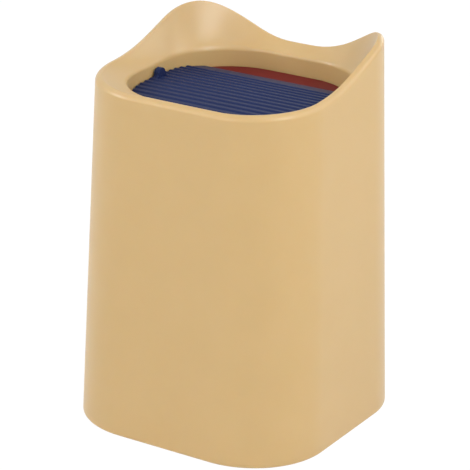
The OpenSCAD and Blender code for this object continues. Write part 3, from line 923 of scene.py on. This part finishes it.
def makeBasePlate(tree):
    p = basePlate
    # The same tree without ribs
    plain = {"Arch Centre": plateCrown - ribbedPlate["arch"], "Arch Radius": p["arch"],
             "Flat From": p["flatFrom"], "Last Rib": 0.0, "Rib Pitch": 1.0, "Rib Count": 1.0,
             "Rib Height": 0.0, "Rib Radius": 0.0, "Rib Foot": 0.0, "Material": redPlastic}
    piece = grow("basePlate", flatPlateMesh("flatBasePlate", p), tree, plain)
    raised = grow("lip", flatPlateMesh("flatLip", lip), tree,
                  dict(plain, **{"Arch Centre": plain["Arch Centre"] + lip["rise"]}))
    adds = [raised.data]
    bpy.data.objects.remove(raised)
    adds += [rod("screwSeat", x, y, screwSeat(y), archHeight(y, p["arch"] - p["thickness"] / 2),
                 plateScrew["seatRadius"]) for x, y in plateScrewPlaces]
    adds += [rod("weightBoss", x, y, weightTop, lipUnderside + p["thickness"] / 2,
                 plateScrew["bossRadius"]) for x, y in weightScrewPlaces]
    cuts = [rod("bossHole", x, y, screwSeat(y) - overshoot, plateCrown, plateScrew["bossRadius"]
                + plateScrew["gap"]) for x, y in plateScrewPlaces]
    cuts += [rod("pilot", x, y, weightTop - overshoot, lipUnderside + p["thickness"] - plateScrew["cover"],
                 screw["radius"], 24) for x, y in weightScrewPlaces]
    piece = carve(piece, "basePlate", adds, cuts)
    finishPiece(piece, 30, "lid", "lid_base_plastic", "base_plate")


plateTree = archedPlateTree()
makeRibbedPlate(plateTree)
makeBasePlate(plateTree)


bucket = {
    "rimHalf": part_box("inner_bucket")[1].x,
    "top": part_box("inner_bucket")[1].z,
    "floor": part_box("inner_bucket")[0].z,
    "flangeWidth": 0.003,
    "flangeHeight": 0.006,
    "blendWidth": 0.0002,       # of the flange's underside into the wall
    "blendHeight": 0.002,
    "wall": 0.0016,
    "lean": 0.006,              # of the wall inwards, from the flange down to the floor
    "floorEdge": 0.005,
    "gap": 0.00045,             # to the shell
}


# Bucket as a stack of rounded squares, each (inset from the flange's outside, height)
def makeBucket():
    b = bucket
    places = outlinePlaces(10, 20)
    wall, top, floor = b["wall"], b["top"], b["floor"]
    rimCorner = wallSize(top)[1] - shell["wall"] - b["gap"]
    foot = b["flangeWidth"] + b["lean"]
    inside = b["flangeWidth"] + wall
    innerEdge = b["floorEdge"] - wall
    rolled = wall * 0.75
    skirt = top - b["flangeHeight"]
    levels = arc((foot + b["floorEdge"], floor + b["floorEdge"]), b["floorEdge"], 270, 180, 10)
    under = top - wall
    levels += [(b["flangeWidth"] + b["blendWidth"], under - b["blendHeight"]),
               (b["flangeWidth"], under), (wall, under)]
    levels += arc((wall / 2, skirt + wall / 2), wall / 2, 0, -180, 8)
    levels += arc((rolled, top - rolled), rolled, 180, 90, 6)
    levels += arc((inside - rolled, top - rolled), rolled, 90, 0, 6)
    levels += arc((foot + b["floorEdge"], floor + b["floorEdge"]), innerEdge, 180, 270, 8)
    n = len(places)
    points = [outlinePoint(b["rimHalf"] - inset, rimCorner - inset, place, z)
              for inset, z in levels for place in places]
    faces = ringFaces(len(levels), n)
    for i in (0, len(levels) - 1):
        faces += [(len(points), i * n + k, i * n + (k + 1) % n) for k in range(n)]
        points.append((0, 0, levels[i][1]))
    mesh = closedMesh("innerBucket", points, faces)
    mesh.materials.append(bucketPlastic)
    piece = placeObject("innerBucket", mesh)
    finishPiece(piece, 40, "bucket", "bucket_plastic", "inner_bucket")


makeBucket()


# Sets a copy of one part on every point, each turned a little by chance
def placedPartsTree():
    tree, given = newGeometryTree("placedParts", ("Most Turn",), (("Part", "Object"), ("Seed", "Int")))
    part = addNode(tree, "GeometryNodeObjectInfo", {"Object": given["Part"]})
    turn = addNode(tree, "FunctionNodeRandomValue", {"Min": 0.0, "Max": given["Most Turn"],
                                                     "Seed": given["Seed"]}, data_type="FLOAT")
    turned = addNode(tree, "ShaderNodeCombineXYZ", {"Z": turn.outputs["Value"]})
    copies = addNode(tree, "GeometryNodeInstanceOnPoints", {
        "Points": given["Geometry"], "Instance": part.outputs["Geometry"], "Rotation": turned})
    endGeometryTree(tree, copies, given["Material"])
    return tree


# Pan head screw with a cross recess: the head hangs below its seat, the thread stands above it
def screwMesh(length):
    s = screw
    head, rounding = s["headHeight"], s["headRounding"]
    profile = [(0, 0), (s["headRadius"], 0)]
    profile += arc((s["headRadius"] - rounding, rounding - head), rounding, 0, -90, 6)
    profile.append((0, -head))
    piece = placeObject("screw", turnedSolid("screwHead", profile, 40))
    slots = []
    for turn in (0, math.pi / 2):
        work = bmesh.new()
        bmesh.ops.create_cube(work, size=1.0)
        bmesh.ops.scale(work, verts=work.verts, vec=(s["slotLength"], s["slotWidth"], 2 * s["slotDepth"]))
        for vertex in work.verts:
            if vertex.co.z > 0:
                vertex.co.xy *= s["slotTaper"]
        bmesh.ops.rotate(work, verts=work.verts, matrix=Matrix.Rotation(turn, 3, "Z"))
        bmesh.ops.translate(work, verts=work.verts, vec=(0, 0, -head))
        slot = bpy.data.meshes.new("slot")
        work.to_mesh(slot)
        work.free()
        slots.append(slot)
    return carve(piece, "screw", [threadMesh(length)], slots)


# Threaded shank: the radius swings between root and crest once in each pitch, along a helix
def threadMesh(length):
    steps, s = 20, screw
    rows = int(length / s["threadPitch"] * s["rowsPerPitch"])
    points, faces = [], []
    for row in range(rows + 1):
        z = length * row / rows
        full = min(1, (length - z) / s["pointLength"])
        taper = s["pointShare"] + (1 - s["pointShare"]) * full
        for i in range(steps):
            phase = (z / s["threadPitch"] - i / steps) % 1
            crest = 1 - abs(2 * phase - 1)
            r = (s["root"] + (s["radius"] - s["root"]) * crest) * taper
            angle = 2 * math.pi * i / steps
            points.append((r * math.cos(angle), r * math.sin(angle), z if row else -s["sink"]))
    faces = ringFaces(rows + 1, steps)
    faces += [tuple(range(steps)), tuple(range(rows * steps, (rows + 1) * steps))]
    return closedMesh("thread", points, faces)


footPad = {
    "radius": 0.006,
    "edge": 0.0008,
    "dimple": 0.0002,           # hollow under the pad, so that it stands on a ring
    "dimpleTop": 0.55,          # shares of the radius
    "dimpleFoot": 0.6,
}


def footPadMesh(height):
    radius, edge, dimple = footPad["radius"], footPad["edge"], footPad["dimple"]
    profile = [(0, dimple), (radius * footPad["dimpleTop"], dimple), (radius * footPad["dimpleFoot"], 0)]
    profile += arc((radius - edge, edge), edge, -90, 0, 5)
    profile += [(radius, height), (0, height)]
    return turnedSolid("footPad", profile, 48)


# Makes the copies of a part at the given points, in place of a node
def makeCopies(name, tree, part, points, turn, material, body, slot, node):
    mesh = bpy.data.meshes.new(name + "Points")
    mesh.from_pydata(points, [], [])
    piece = grow(name, mesh, tree, {"Part": part, "Most Turn": turn, "Seed": 7, "Material": material})
    finishPiece(piece, 35, body, slot, node)
    bpy.data.objects.remove(part)


copiesTree = placedPartsTree()
quarterTurn = math.pi / 2
plateScrewLength = min(archHeight(y, ribbedPlate["arch"]) - plateScrew["cover"] - screwSeat(y)
                       for _, y in plateScrewPlaces)
makeCopies("plateScrews", copiesTree, screwMesh(plateScrewLength),
           [(x, y, screwSeat(y)) for x, y in plateScrewPlaces],
           quarterTurn, steel, "lid", "pin_steel", "plate_screws")
weightUnderside = weightTop - weightScrew["stripThickness"]
weightScrewLength = lipUnderside + basePlate["thickness"] - plateScrew["cover"] - weightUnderside
makeCopies("weightScrews", copiesTree, screwMesh(weightScrewLength),
           [(x, y, weightUnderside) for x, y in weightScrewPlaces],
           quarterTurn, steel, "lid", "pin_steel", "weight_screws")
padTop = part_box("foot_pads")[1]
padPlace = padTop.x - footPad["radius"]
makeCopies("footPads", copiesTree, placeObject("footPad", footPadMesh(padTop.z)),
           [(x * padPlace, y * padPlace, 0) for x in (-1, 1) for y in (-1, 1)],
           0.0, rubber, "bucket", "foot_rubber", "foot_pads")


balanceWeightEdge = 0.00012


# The balance weight is the node's own shape with its edges broken
def makeBalanceWeight():
    work = bmesh.new()
    work.from_mesh(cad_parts["balance_weight"].data)
    bmesh.ops.remove_doubles(work, verts=work.verts, dist=0.000001)
    bmesh.ops.dissolve_limit(work, angle_limit=math.radians(1), verts=work.verts, edges=work.edges)
    mesh = bpy.data.meshes.new("balanceWeight")
    work.to_mesh(mesh)
    work.free()
    mesh.materials.clear()
    mesh.materials.append(steel)
    piece = roundEdges(placeObject("balanceWeight", mesh), "balanceWeight", balanceWeightEdge, 60)
    finishPiece(piece, 35, "lid", "pin_steel", "balance_weight")


makeBalanceWeight()
for name in ("pivot_pin_left", "pivot_pin_right"):
    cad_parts[name].material_slots[0].material = steel
print("all pieces are made")
